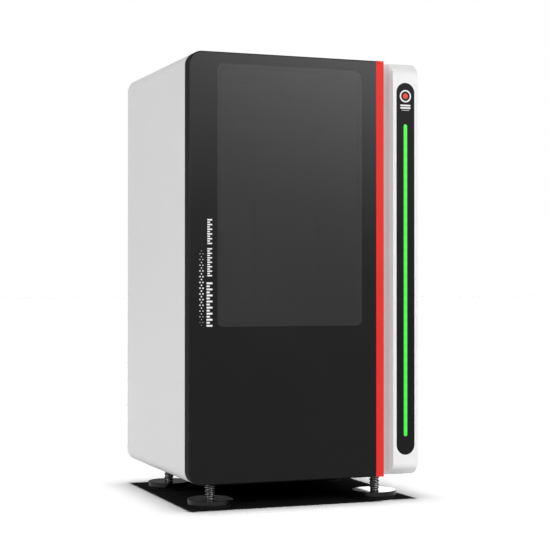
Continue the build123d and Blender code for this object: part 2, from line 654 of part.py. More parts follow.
# The runner blocks on the rails.
BLOCK_HALF = 15.0
BLOCK_Z = (690.0, 758.0)
BLOCK_LIFT = 2.0            # the blocks stand this far off the back plate
RUNNER_CLEAR = 0.3
with BuildPart() as rail_blocks:
    for side in (-1, 1):
        middle = side * RAIL_X
        slab(band(middle, BLOCK_HALF), (CARRIAGE_Y[1], RAIL_BACK - BLOCK_LIFT), BLOCK_Z)
        slab(band(middle, RAIL[0] / 2 + RUNNER_CLEAR), (RAIL_FRONT - RUNNER_CLEAR, RAIL_BACK), BLOCK_Z,
             Mode.SUBTRACT)
save(rail_blocks, "rail_blocks")

# The carriage: a plate on the runner blocks, a nut block behind it and a ribbed arm to the platform.
CARRIAGE_HALF = 60.0
CARRIAGE_ROUND = 6.0
NUT_R = 9.0
NUT_Z = (690.0, 714.0)
NUT_BLOCK = 15.0
ARM_HALF = 34.0
ARM_ROOT = (50.0, 20.0)     # half width at the plate, and where the arm has narrowed
ARM_TIP = PRINT_Y - 36.0
ARM_ROUND = 10.0
POCKET_WALL = 6.0
POCKET_Y = (0.0, CARRIAGE_Y[0] - 8.0)
RIB_X = 28.0
RIB_HALF = 3.0
RIB_LOW = CARRIAGE_Z[0] + CARRIAGE_ROUND
RIB_REACH = (6.0, 44.0)     # how far the ribs stand out from the plate, at their foot and under the arm
KNOB_STUD = 5.0
with BuildPart() as z_carriage:
    slab(band(0, CARRIAGE_HALF), CARRIAGE_Y, CARRIAGE_Z)
    fillet(z_carriage.edges().filter_by(Axis.Y), radius=CARRIAGE_ROUND)
    slab(band(0, NUT_BLOCK), (CARRIAGE_Y[1], RAIL_BACK - 1.0), NUT_Z)
    rod(NUT_R, 0, SCREW_Y, NUT_Z, Mode.SUBTRACT)
    with BuildSketch(Plane.XY.offset(ARM_Z[0])) as arm_plan:
        with BuildLine():
            Polyline((-ARM_ROOT[0], CARRIAGE_Y[0]), (-ARM_HALF, ARM_ROOT[1]), (-ARM_HALF, ARM_TIP),
                     (ARM_HALF, ARM_TIP), (ARM_HALF, ARM_ROOT[1]), (ARM_ROOT[0], CARRIAGE_Y[0]), close=True)
        make_face()
        fillet(arm_plan.vertices().group_by(Axis.Y)[0], radius=ARM_ROUND)
    extrude(amount=ARM_Z[1] - ARM_Z[0])
    slab(band(0, ARM_HALF - POCKET_WALL), POCKET_Y, (ARM_Z[0] + POCKET_WALL, ARM_Z[1]), Mode.SUBTRACT)
    for side in (-1, 1):
        with BuildSketch(Plane.YZ.offset(side * RIB_X)):
            with BuildLine():
                Polyline((CARRIAGE_Y[0], ARM_Z[0]), (CARRIAGE_Y[0], RIB_LOW),
                         (CARRIAGE_Y[0] - RIB_REACH[0], RIB_LOW), (CARRIAGE_Y[0] - RIB_REACH[1], ARM_Z[0]),
                         close=True)
            make_face()
        extrude(amount=RIB_HALF, both=True)
    rod(KNOB_STUD + RUN, 0, PRINT_Y, ARM_Z, Mode.SUBTRACT)
save(z_carriage, "z_carriage")

# The lead screw's nut, pressed into the carriage's nut block.
with BuildPart() as screw_nut:
    rod(NUT_R, 0, SCREW_Y, NUT_Z)
    rod(SCREW_R + RUN, 0, SCREW_Y, NUT_Z, Mode.SUBTRACT)
save(screw_nut, "screw_nut")

# The build platform: a flat plate under a pyramid and a squared neck, clamped up against the arm.
PLATFORM_TOP = PLATFORM_UNDERSIDE + PLATFORM[2]
PLATFORM_ROUND = 2.0
PLATFORM_CHAMFER = 0.8
PYRAMID = (130.0, 84.0, 12.0)
PYRAMID_TAPER = 60.0
NECK = 52.0
BOSS_ROUND = 4.0
NECK_BORE = 14.0
with BuildPart() as build_platform:
    with Locations((0, PRINT_Y, PLATFORM_UNDERSIDE + PLATFORM[2] / 2)):
        Box(*PLATFORM)
    chamfer(build_platform.faces().sort_by(Axis.Z)[0].edges(), length=PLATFORM_CHAMFER)
    fillet(build_platform.edges().filter_by(Axis.Z), radius=PLATFORM_ROUND)
    with BuildSketch(Plane.XY.offset(PLATFORM_TOP)):
        with Locations((0, PRINT_Y)):
            RectangleRounded(PYRAMID[0], PYRAMID[1], BOSS_ROUND)
    extrude(amount=PYRAMID[2], taper=PYRAMID_TAPER)
    with BuildSketch(Plane.XY.offset(PLATFORM_TOP)):
        with Locations((0, PRINT_Y)):
            RectangleRounded(NECK, NECK, BOSS_ROUND)
    extrude(amount=ARM_Z[0] - PLATFORM_TOP)
    rod(KNOB_STUD + RUN, 0, PRINT_Y, (ARM_Z[0] - NECK_BORE, ARM_Z[0]), Mode.SUBTRACT)
save(build_platform, "build_platform")

# The hand knob on the arm, whose stud clamps the platform.
PLATFORM_KNOB = (20.0, 22.0)
KNOB_SEAT = 4.0             # the stud stands this far up inside the knob
STUD_BELOW_ARM = 12.0
with BuildPart() as platform_knob:
    knob_low = ARM_Z[1] + KNOB_GAP
    add(lobed_knob(0, PRINT_Y, knob_low, *PLATFORM_KNOB, KNOB_STUD - RUN, KNOB_SEAT).part)
    rod(KNOB_STUD, 0, PRINT_Y, (ARM_Z[0] - STUD_BELOW_ARM, knob_low + KNOB_SEAT))
save(platform_knob, "platform_knob")

# The lead screw, from the coupling up into its bearing.
SCREW_Z = (286.0, 786.0)
with BuildPart() as lead_screw:
    rod(SCREW_R, 0, SCREW_Y, SCREW_Z)
save(lead_screw, "lead_screw")

# The coupling between the motor's shaft and the lead screw.
COUPLING_R = 11.0
COUPLING_Z = (272.0, 302.0)
COUPLING_WEB = 1.0
MOTOR_SHAFT = 3.2
with BuildPart() as shaft_coupling:
    rod(COUPLING_R, 0, SCREW_Y, COUPLING_Z)
    rod(SCREW_R, 0, SCREW_Y, (SCREW_Z[0], COUPLING_Z[1]), Mode.SUBTRACT)
    rod(MOTOR_SHAFT + RUN, 0, SCREW_Y, (COUPLING_Z[0], SCREW_Z[0] - COUPLING_WEB), Mode.SUBTRACT)
save(shaft_coupling, "shaft_coupling")

# The block on the back plate that holds the screw's upper bearing.
BEARING_HALF = 21.0
BEARING_Y = (SCREW_Y - 11.0, RAIL_BACK)
BEARING_Z = (774.0, CHAMBER_TOP)
BEARING_LID = 1.5
BEARING_CHAMFER = 3.0
with BuildPart() as screw_bearing:
    slab(band(0, BEARING_HALF), BEARING_Y, BEARING_Z)
    rod(SCREW_R + RUN, 0, SCREW_Y, (BEARING_Z[0], BEARING_Z[1] - BEARING_LID), Mode.SUBTRACT)
    chamfer(screw_bearing.edges().filter_by(Axis.Z).group_by(Axis.Y)[0], length=BEARING_CHAMFER)
save(screw_bearing, "screw_bearing")

# The stepper motor, hung from the deck's pillars.
MOTOR_HALF = 28.5
MOTOR_LONG = 62.0
MOTOR_CHAMFER = 5.0
MOTOR_BOSS = (19.0, 2.0)
SHAFT_IN_COUPLING = 10.0
with BuildPart() as z_motor:
    slab(band(0, MOTOR_HALF), band(SCREW_Y, MOTOR_HALF), (MOTOR_TOP - MOTOR_LONG, MOTOR_TOP))
    chamfer(z_motor.edges().filter_by(Axis.Z), length=MOTOR_CHAMFER)
    rod(MOTOR_BOSS[0], 0, SCREW_Y, (MOTOR_TOP, MOTOR_TOP + MOTOR_BOSS[1]))
    rod(MOTOR_SHAFT, 0, SCREW_Y, (MOTOR_TOP, COUPLING_Z[0] + SHAFT_IN_COUPLING))
save(z_motor, "z_motor")

# ======== electronics and rear ========

# The control board in the right-hand bay: chips, connectors and electrolytics on one side, standoffs behind.
BOARD = 1.6
BOARD_X = 208.0             # the side with the components
BOARD_Y = (-120.0, 80.0)
BOARD_Z = (110.0, 300.0)
BLOCKS = {                  # depth, height, length along Y, length along Z and thickness
    "processor": (-60.0, 240.0, 34.0, 34.0, 3.0),
    "memory": (20.0, 230.0, 26.0, 26.0, 3.0),
    "motor_connector": (-80.0, 150.0, 60.0, 10.0, 12.0),
    "power_connector": (30.0, 140.0, 40.0, 12.0, 14.0),
    "screen_connector": (60.0, 280.0, 20.0, 12.0, 10.0),
    "motor_driver": (-30.0, 180.0, 18.0, 18.0, 8.0),
}
CAPACITOR_R = 6.0
CAPACITOR_TALL = 12.0
CAPACITOR_Y = 62.0
CAPACITOR_STEP = 20.0
CAPACITOR_MID_Z = 200.0
STANDOFF_R = 3.0
STANDOFF_INSET = 6.0
board_middle = (sum(BOARD_Y) / 2, sum(BOARD_Z) / 2)
board_size = (BOARD_Y[1] - BOARD_Y[0], BOARD_Z[1] - BOARD_Z[0])
with BuildPart() as control_board:
    slab((BOARD_X, BOARD_X + BOARD), BOARD_Y, BOARD_Z)
    for y, z, wide, tall, thick in BLOCKS.values():
        slab((BOARD_X - thick, BOARD_X), band(y, wide / 2), band(z, tall / 2))
    with BuildSketch(Plane.YZ.offset(BOARD_X)):
        with Locations((CAPACITOR_Y, CAPACITOR_MID_Z)):
            with GridLocations(0, CAPACITOR_STEP, 1, 3):
                Circle(CAPACITOR_R)
    extrude(amount=-CAPACITOR_TALL)
    with BuildSketch(Plane.YZ.offset(BOARD_X + BOARD)):
        with Locations(board_middle):
            with GridLocations(board_size[0] - 2 * STANDOFF_INSET, board_size[1] - 2 * STANDOFF_INSET, 2, 2):
                Circle(STANDOFF_R)
    extrude(amount=SIDE - SKIN - BOARD_X - BOARD)
save(control_board, "control_board")

# The power supply: a flat box with a terminal block in a notch at one end.
SUPPLY_X = (-110.0, 80.0)
SUPPLY_Y = (70.0, 185.0)
SUPPLY_TALL = 48.0
NOTCH_LONG = 18.0
NOTCH_EDGE = 6.0
NOTCH_FLOOR = BASE_PLATE_TOP + 14.0
TERMINAL_X = (63.0, 78.0)
TERMINAL_EDGE = 12.0
TERMINAL_TALL = 14.0
with BuildPart() as power_supply:
    slab(SUPPLY_X, SUPPLY_Y, (BASE_PLATE_TOP, BASE_PLATE_TOP + SUPPLY_TALL))
    slab((SUPPLY_X[1] - NOTCH_LONG, SUPPLY_X[1]), grow(SUPPLY_Y, -NOTCH_EDGE),
         (NOTCH_FLOOR, BASE_PLATE_TOP + SUPPLY_TALL), Mode.SUBTRACT)
    slab(TERMINAL_X, grow(SUPPLY_Y, -TERMINAL_EDGE), (NOTCH_FLOOR, NOTCH_FLOOR + TERMINAL_TALL))
save(power_supply, "power_supply")

# The cooling fan's frame, with a shaft on a hub that four struts hold.
FAN_Y = (REAR_FACE - PANEL - FAN_DEEP, REAR_FACE - PANEL)
FAN_CORNER = 6.0
HUB_R = 21.0
STRUT = (5.0, 4.0)
SHAFT_R = 2.5
SHAFT_LONG = 18.0
with BuildPart() as fan_frame:
    with BuildSketch(upright(FAN_Y[0])):
        with Locations(FAN):
            RectangleRounded(FAN_SIZE, FAN_SIZE, FAN_CORNER)
            Circle(FAN_BORE, mode=Mode.SUBTRACT)
    extrude(amount=-FAN_DEEP)
    with BuildSketch(upright(FAN_Y[0])):
        with Locations(FAN):
            Circle(HUB_R)
            for turn in (45, -45):
                Rectangle(2 * FAN_BORE + STRUT[0], STRUT[0], rotation=turn)
    extrude(amount=-STRUT[1])
    with BuildSketch(upright(FAN_Y[0])):
        with Locations(FAN):
            Circle(SHAFT_R)
    extrude(amount=-SHAFT_LONG)
save(fan_frame, "fan_frame")

# The fan's rotor: a hub cup with seven pitched blades.
BLADE_COUNT = 7
BLADE_R = 55.5
BLADE = (19.0, 2.0)         # chord and thickness
BLADE_PITCH = 38.0
BLADE_ROOT = 3.0            # the blades start this far inside the hub
ROTOR_Y = (FAN_Y[0] + 5.0, FAN_Y[0] + 22.0)
with BuildPart() as fan_impeller:
    with BuildSketch(upright(ROTOR_Y[0])):
        with Locations(FAN):
            Circle(HUB_R)
    extrude(amount=ROTOR_Y[0] - ROTOR_Y[1])
    for index in range(BLADE_COUNT):
        angle = index * 2 * math.pi / BLADE_COUNT
        outward = Vector(math.cos(angle), 0, math.sin(angle))
        root = Vector(FAN[0], sum(ROTOR_Y) / 2, FAN[1]) + outward * (HUB_R - BLADE_ROOT)
        with BuildSketch(Plane(origin=root, x_dir=(0, 1, 0), z_dir=outward)):
            Rectangle(*BLADE, rotation=BLADE_PITCH)
        extrude(amount=BLADE_R - HUB_R + BLADE_ROOT)
    with BuildSketch(upright(ROTOR_Y[0])):
        with Locations(FAN):
            Circle(SHAFT_R + RUN)
    extrude(amount=ROTOR_Y[0] - FAN_Y[0] - SHAFT_LONG - 1.0, mode=Mode.SUBTRACT)
save(fan_impeller, "fan_impeller")

# The mains module: a flanged moulding with an inlet socket below and a bay for the switch above.
FLANGE_THICK = 1.5
FLANGE_OUT = REAR_FACE + FLANGE_THICK
FLANGE_CORNER = 4.0
MODULE_DEEP = 30.0
SOCKET = (26.0, 19.0, 17.0)
SOCKET_CHAMFER = 5.0
BLADES = ((-7.0, -2.0), (7.0, -2.0), (0.0, 3.0))        # across and up from the socket's middle
BLADE_HALF = (1.0, 2.0)
BLADE_Y = (FLANGE_OUT - SOCKET[2] - 1.0, FLANGE_OUT - 6.0)
BAY = (19.4, 29.0, 16.0)
PIVOT_R = 1.5
PIVOT_REACH = 2.0
with BuildPart() as power_inlet:
    with BuildSketch(upright(REAR_FACE)):
        with Locations(INLET):
            RectangleRounded(*INLET_SIZE, FLANGE_CORNER)
    extrude(amount=-FLANGE_THICK)
    slab(band(INLET[0], INLET_SIZE[0] / 2 - INLET_LAP), (REAR_FACE - MODULE_DEEP, REAR_FACE),
         band(INLET[1], INLET_SIZE[1] / 2 - INLET_LAP))
    with BuildSketch(upright(FLANGE_OUT)) as socket_mouth:
        with Locations((INLET[0], SOCKET_MID)):
            Rectangle(SOCKET[0], SOCKET[1])
        chamfer(socket_mouth.vertices().group_by(Axis.Y)[-1], length=SOCKET_CHAMFER)
    extrude(amount=SOCKET[2], mode=Mode.SUBTRACT)
    slab(band(INLET[0], BAY[0] / 2), (REAR_FACE - BAY[2], FLANGE_OUT), band(SWITCH_MID, BAY[1] / 2),
         Mode.SUBTRACT)
    for across, up in BLADES:
        slab(band(INLET[0] + across, BLADE_HALF[0]), BLADE_Y, band(SOCKET_MID + up, BLADE_HALF[1]))
    with BuildSketch(Plane.YZ.offset(INLET[0])):
        with Locations((SWITCH_AXIS_Y, SWITCH_MID)):
            Circle(PIVOT_R + RUN)
    extrude(amount=BAY[0] / 2 + PIVOT_REACH + RUN, both=True, mode=Mode.SUBTRACT)
save(power_inlet, "power_inlet")

# The rocker, drawn level and then tipped to its off side; its pivots turn in the module's walls.
ROCKER_HALF = 9.2
ROCKER_ROUND = 0.8
with BuildPart() as rocker_switch:
    with BuildSketch(Plane.YZ):
        with BuildLine():
            Polyline((-7.0, -9.0), (4.6, -12.6), (3.0, 0.0), (4.6, 12.6), (-7.0, 9.0), close=True)
        make_face()
    extrude(amount=ROCKER_HALF, both=True)
    fillet(rocker_switch.edges().filter_by(Axis.X).group_by(Axis.Y)[-1], radius=ROCKER_ROUND)
    with BuildSketch(Plane.YZ):
        Circle(PIVOT_R)
    extrude(amount=ROCKER_HALF + PIVOT_REACH, both=True)
tipped = Location((INLET[0], SWITCH_AXIS_Y, SWITCH_MID), (SWITCH_TILT, 0, 0))
rocker_switch.part.locate(tipped)
save(rocker_switch, "rocker_switch")

# The data sockets: a square network socket above a flat one, in one moulding.
NETWORK_SOCKET = (12.0, 8.5)
FLAT_SOCKET = (12.8, 5.6)
DATA_DEEP = 13.0
DATA_OFFSET = 11.0          # each socket's middle above or below the moulding's
DATA_Y = (REAR_FACE - 20.0, REAR_FACE + 0.8)
with BuildPart() as data_ports:
    slab(band(PORTS[0], PORT_CUT[0] / 2), DATA_Y, band(PORTS[1], PORT_CUT[1] / 2))
    for (wide, tall), up in ((NETWORK_SOCKET, DATA_OFFSET), (FLAT_SOCKET, -DATA_OFFSET)):
        slab(band(PORTS[0], wide / 2), (DATA_Y[1] - DATA_DEEP, DATA_Y[1]), band(PORTS[1] + up, tall / 2),
             Mode.SUBTRACT)
save(data_ports, "data_ports")

# ======== feet ========

# Lock nuts, jammed on the base plate from inside.
NUT_HALF = 13.5
NUT_TALL = 10.0
with BuildPart() as foot_lock_nuts:
    with BuildSketch(Plane.XY.offset(BASE_PLATE_TOP)):
        with Locations(*FOOT_PLACES.values()):
            RegularPolygon(NUT_HALF, 6, major_radius=False)
            Circle(STUD_R + RUN, mode=Mode.SUBTRACT)
    extrude(amount=NUT_TALL)
save(foot_lock_nuts, "foot_lock_nuts")

STUD_LOW = PAD_Z[0] + 3.0
PAD_CLEAR = 0.2
FIRST_RIDGE = PAD_Z[1] + 1.0
CREST = (0.35, 0.55, 0.9)   # where a ridge reaches its crest, leaves it and ends, in pitches
PAD_CHAMFER = 0.7
RUBBER_CHAMFER = 1.0


def stud_outline():
    """Half of the stud's section: a plain end in the pad, then ridges one pitch apart up to its top."""
    points = [(0.0, STUD_LOW + PAD_CLEAR), (STUD_CORE, STUD_LOW + PAD_CLEAR)]
    ridge = FIRST_RIDGE
    while ridge + THREAD_PITCH < STUD_TOP:
        points.append((STUD_CORE, ridge))
        points.append((STUD_R, ridge + CREST[0] * THREAD_PITCH))
        points.append((STUD_R, ridge + CREST[1] * THREAD_PITCH))
        points.append((STUD_CORE, ridge + CREST[2] * THREAD_PITCH))
        ridge += THREAD_PITCH
    points.append((STUD_CORE, STUD_TOP))
    points.append((0.0, STUD_TOP))
    return points


# Each foot: a threaded stud, the pad that turns on its lower end, and a rubber disc under the pad.
for place, (x, y) in FOOT_PLACES.items():
    with BuildPart() as foot_stud:
        with BuildSketch(Plane(origin=(x, y, 0), x_dir=(1, 0, 0), z_dir=(0, -1, 0))):
            with BuildLine():
                Polyline(*stud_outline(), close=True)
            make_face()
        revolve(axis=Axis((x, y, 0), (0, 0, 1)))
    save(foot_stud, f"foot_stud_{place}")

    with BuildPart() as foot_pad:
        rod(PAD_R, x, y, PAD_Z)
        chamfer(foot_pad.edges().filter_by(GeomType.CIRCLE), length=PAD_CHAMFER)
        rod(STUD_CORE + RUN, x, y, (STUD_LOW, PAD_Z[1]), Mode.SUBTRACT)
    save(foot_pad, f"foot_pad_{place}")

    with BuildPart() as foot_rubber:
        rod(RUBBER_R, x, y, (0.0, PAD_Z[0]))
        chamfer(foot_rubber.faces().sort_by(Axis.Z)[0].edges(), length=RUBBER_CHAMFER)
    save(foot_rubber, f"foot_rubber_{place}")
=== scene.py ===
import math

import bpy
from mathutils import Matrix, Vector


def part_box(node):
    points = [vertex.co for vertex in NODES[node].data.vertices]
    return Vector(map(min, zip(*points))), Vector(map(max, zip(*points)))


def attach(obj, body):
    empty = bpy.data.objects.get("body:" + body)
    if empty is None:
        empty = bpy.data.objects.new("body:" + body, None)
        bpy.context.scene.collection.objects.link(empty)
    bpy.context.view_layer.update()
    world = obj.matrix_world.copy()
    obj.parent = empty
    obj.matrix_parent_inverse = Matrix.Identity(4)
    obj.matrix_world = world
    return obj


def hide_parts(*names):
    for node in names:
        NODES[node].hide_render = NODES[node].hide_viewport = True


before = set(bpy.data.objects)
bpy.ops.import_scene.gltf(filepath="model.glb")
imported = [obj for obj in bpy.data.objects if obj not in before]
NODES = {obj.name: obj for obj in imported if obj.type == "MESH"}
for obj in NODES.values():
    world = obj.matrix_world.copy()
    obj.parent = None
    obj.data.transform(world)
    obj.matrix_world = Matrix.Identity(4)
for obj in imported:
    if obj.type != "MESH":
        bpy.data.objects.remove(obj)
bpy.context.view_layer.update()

# Looks of the resin printer: materials for every CAD node, the printed marks on the door and the column,
# real helical threads, and the studio round it. Metres, in the frame of the CAD model.
# The studio is a rig: a lamp for the floor alone, one for the column alone, and surroundings that
# matt surfaces, gloss surfaces and the camera each see differently.

MM = 0.001
PRINT_WHITE = (0.75, 0.75, 0.75)         # base colour of the white ink
SCENE = bpy.context.scene


# ---------------------------------------------------------------- camera

CAMERA_PLACE = (-0.98077, -2.61097, 0.39424)
CAMERA_TURN = math.radians(20.865)      # to the right of +Y
CAMERA_TILT = math.radians(0.3635)      # above level
LENS = 95.48
SENSOR = 36.0


def make_camera():
    data = bpy.data.cameras.new("camera")
    data.lens = LENS
    data.sensor_width = SENSOR
    data.clip_end = 100.0
    camera = bpy.data.objects.new("camera", data)
    camera.location = CAMERA_PLACE
    camera.rotation_euler = (math.radians(90) + CAMERA_TILT, 0.0, -CAMERA_TURN)
    SCENE.collection.objects.link(camera)
    SCENE.camera = camera


# ---------------------------------------------------------------- node helpers

def add_node(tree, kind, inputs=None, **settings):
    """A shader node with its settings, and with values or links for its inputs."""
    node = tree.nodes.new(kind)
    for key, value in settings.items():
        setattr(node, key, value)
    for socket, value in (inputs or {}).items():
        if isinstance(value, bpy.types.NodeSocket):
            tree.links.new(value, node.inputs[socket])
        else:
            node.inputs[socket].default_value = value
    return node


def blank(name):
    """A new material and its shader."""
    material = bpy.data.materials.new(name)
    material.use_nodes = True
    return material, material.node_tree, material.node_tree.nodes["Principled BSDF"]


def noise(tree, vector, scale, detail=2.0, roughness=0.5):
    inputs = {"Vector": vector, "Scale": scale, "Detail": detail, "Roughness": roughness}
    return add_node(tree, "ShaderNodeTexNoise", inputs).outputs["Fac"]


def spread(tree, value, low, high, start=0.3, end=0.7):
    """Map a noise's usual span to low..high."""
    inputs = {"Value": value, "From Min": start, "From Max": end, "To Min": low, "To Max": high}
    return add_node(tree, "ShaderNodeMapRange", inputs).outputs["Result"]


def ramp(tree, value, start, end, low, high):
    """A smooth step from low to high as a value goes from start to end."""
    inputs = {"Value": value, "From Min": start, "From Max": end, "To Min": low, "To Max": high}
    return add_node(tree, "ShaderNodeMapRange", inputs, interpolation_type="SMOOTHSTEP").outputs["Result"]


def times(tree, *values):
    """The product of numbers and number sockets."""
    product = values[0]
    for value in values[1:]:
        product = add_node(tree, "ShaderNodeMath", {0: product, 1: value}, operation="MULTIPLY").outputs[0]
    return product


def blend_colors(tree, factor, first, second):
    """A mix of two colours or colour sockets."""
    node = add_node(tree, "ShaderNodeMix", data_type="RGBA")
    slots = {"factor": node.inputs[0], "first": node.inputs[6], "second": node.inputs[7]}
    for key, value in (("factor", factor), ("first", first), ("second", second)):
        if isinstance(value, bpy.types.NodeSocket):
            tree.links.new(value, slots[key])
        else:
            slots[key].default_value = value
    return node.outputs[2]


def shade(color, factor):
    return (color[0] * factor, color[1] * factor, color[2] * factor, 1.0)


def set_shader(shader, values):
    for socket, value in values.items():
        shader.inputs[socket].default_value = value


# ---------------------------------------------------------------- materials

def finish(name, color, rough, mottle=0.03, mottle_scale=9.0, grain_scale=1400.0, grain=0.02, swing=0.05,
           stretch=(1.0, 1.0, 1.0), **shader_values):
    """A surface with slow colour drift, a fine grain in its relief and a roughness that follows both.
    grain is the relief's depth in millimetres, and stretch draws the grain out along an axis."""
    material, tree, shader = blank(name)
    place = add_node(tree, "ShaderNodeTexCoord").outputs["Object"]
    drawn = add_node(tree, "ShaderNodeMapping", {"Vector": place, "Scale": stretch}).outputs["Vector"]
    drift = noise(tree, place, mottle_scale, 4.0)
    fine = noise(tree, drawn, grain_scale, 3.0, 0.6)
    factor = spread(tree, drift, 0.0, 1.0)
    tone = blend_colors(tree, factor, shade(color, 1.0 - mottle), shade(color, 1.0 + mottle))
    tree.links.new(tone, shader.inputs["Base Color"])
    patchy = add_node(tree, "ShaderNodeMath", {0: fine, 1: drift}, operation="ADD").outputs[0]
    level = spread(tree, patchy, rough - swing, rough + swing, 0.7, 1.3)
    tree.links.new(level, shader.inputs["Roughness"])
    bump = add_node(tree, "ShaderNodeBump", {"Height": fine, "Distance": grain * MM, "Strength": 0.6})
    tree.links.new(bump.outputs["Normal"], shader.inputs["Normal"])
    set_shader(shader, shader_values)
    return material


def white_coat():
    """The cabinet's paint; its underside is coloured near-black, a painted shade that keeps the floor beneath
    the cabinet dark.
    """
    material = finish("white_coat", (0.66, 0.66, 0.665), 0.42, mottle=0.012, mottle_scale=3.0,
                      grain_scale=620.0, grain=0.012, swing=0.04)
    tree = material.node_tree
    shader = tree.nodes["Principled BSDF"]
    set_shader(shader, {"Specular IOR Level": 0.06})
    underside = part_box("cabinet_shell")[0].z
    place = add_node(tree, "ShaderNodeTexCoord").outputs["Object"]
    height = add_node(tree, "ShaderNodeSeparateXYZ", {"Vector": place}).outputs["Z"]
    # mask: 0 on the underside, which gets the near-black painted shade, 1 on the white paint above it
    clear_of_painted_shade = ramp(tree, height, underside + 0.1 * MM, underside + 0.5 * MM, 0.0, 1.0)
    paint = shader.inputs["Base Color"].links[0].from_socket
    tree.links.new(blend_colors(tree, clear_of_painted_shade, (0.02, 0.02, 0.02, 1.0), paint), shader.inputs["Base Color"])
    return material


def white_moulding():
    material = finish("white_moulding", (0.76, 0.76, 0.762), 0.35, mottle=0.01, mottle_scale=5.0,
                      grain_scale=1500.0, grain=0.01, swing=0.04)
    set_shader(material.node_tree.nodes["Principled BSDF"], {"Specular IOR Level": 0.2})
    return material


def gloss_black(name="gloss_black", rough=0.17, color=(0.0015, 0.0015, 0.0016), shine=0.18):
    material = finish(name, color, rough, mottle=0.15, mottle_scale=6.0, grain_scale=140.0,
                      grain=0.004, swing=0.02)
    set_shader(material.node_tree.nodes["Principled BSDF"], {"Specular IOR Level": shine})
    return material


def door_black():
    """The door's moulding: a gloss face, and a fine matt texture on its edges."""
    material = gloss_black("door_black")
    tree = material.node_tree
    shader = tree.nodes["Principled BSDF"]
    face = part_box("door_shell")[0].y
    place = add_node(tree, "ShaderNodeTexCoord").outputs["Object"]
    depth = add_node(tree, "ShaderNodeSeparateXYZ", {"Vector": place}).outputs["Y"]
    matt = ramp(tree, depth, face + 0.9 * MM, face + 1.4 * MM, 0.0, 0.6)
    gloss = shader.inputs["Roughness"].links[0].from_socket
    rough = add_node(tree, "ShaderNodeMath", {0: gloss, 1: matt}, operation="ADD").outputs[0]
    tree.links.new(rough, shader.inputs["Roughness"])
    return material


def tinted_pane():
    material = finish("tinted_pane", (0.020, 0.020, 0.0205), 0.18, mottle=0.05, mottle_scale=5.0,
                      grain_scale=90.0, grain=0.003, swing=0.02)
    set_shader(material.node_tree.nodes["Principled BSDF"], {"Specular IOR Level": 0.22, "Alpha": 0.86})
    return material


def black_grain(name="black_grain", grain_scale=1700.0):
    return finish(name, (0.018, 0.018, 0.019), 0.55, mottle=0.08, mottle_scale=14.0, grain_scale=grain_scale,
                  grain=0.05, swing=0.08)


def red_satin():
    material = finish("red_satin", (0.68, 0.026, 0.022), 0.34, mottle=0.03, mottle_scale=7.0,
                      grain_scale=1100.0, grain=0.01, swing=0.04)
    set_shader(material.node_tree.nodes["Principled BSDF"], {"Specular IOR Level": 0.12})
    return material


def rubber():
    material = finish("rubber", (0.008, 0.008, 0.008), 0.78, mottle=0.15, mottle_scale=25.0,
                      grain_scale=900.0, grain=0.06, swing=0.1)
    set_shader(material.node_tree.nodes["Principled BSDF"], {"Specular IOR Level": 0.1})
    return material


def grey_coat():
    return finish("grey_coat", (0.22, 0.225, 0.235), 0.52, mottle=0.04, mottle_scale=5.0, grain_scale=800.0,
                  grain=0.03, swing=0.06)


def pale_coat():
    return finish("pale_coat", (0.52, 0.525, 0.54), 0.46, mottle=0.03, mottle_scale=4.0, grain_scale=700.0,
                  grain=0.02, swing=0.05)


def bead_blasted(name="bead_blasted", color=(0.62, 0.625, 0.64)):
    return finish(name, color, 0.40, mottle=0.03, mottle_scale=8.0, grain_scale=2600.0,
                  grain=0.02, swing=0.06, Metallic=1.0)


def brushed(name, color, along, rough=0.32):
    """Steel or aluminium with brush lines along one axis (0, 1 or 2)."""
    stretch = [60.0, 60.0, 60.0]
    stretch[along] = 1.0
    return finish(name, color, rough, mottle=0.04, mottle_scale=10.0, grain_scale=18.0, grain=0.02, swing=0.1,
                  stretch=stretch, Metallic=1.0)


def black_oxide():
    return finish("black_oxide", (0.008, 0.008, 0.0085), 0.22, mottle=0.2, mottle_scale=60.0,
                  grain_scale=700.0, grain=0.006, swing=0.04, IOR=2.3)


def dark_anodised():
    return finish("dark_anodised", (0.03, 0.03, 0.033), 0.38, mottle=0.06, mottle_scale=12.0,
                  grain_scale=2200.0, grain=0.02, swing=0.06, Metallic=0.6)


def brass():
    return finish("brass", (0.72, 0.50, 0.20), 0.28, mottle=0.06, mottle_scale=40.0, grain_scale=600.0,
                  grain=0.01, swing=0.08, Metallic=1.0)


def ink(name, color):
    """Screen-printed ink: flat, slightly raised and a little uneven."""
    return finish(name, color, 0.5, mottle=0.04, mottle_scale=300.0, grain_scale=2500.0,
                  grain=0.01, swing=0.05)


RING_RATE = 9000.0          # radians of the lathe rings' wave per metre of radius
RING_WANDER = 2.0 * MM      # most that a ring strays from its circle


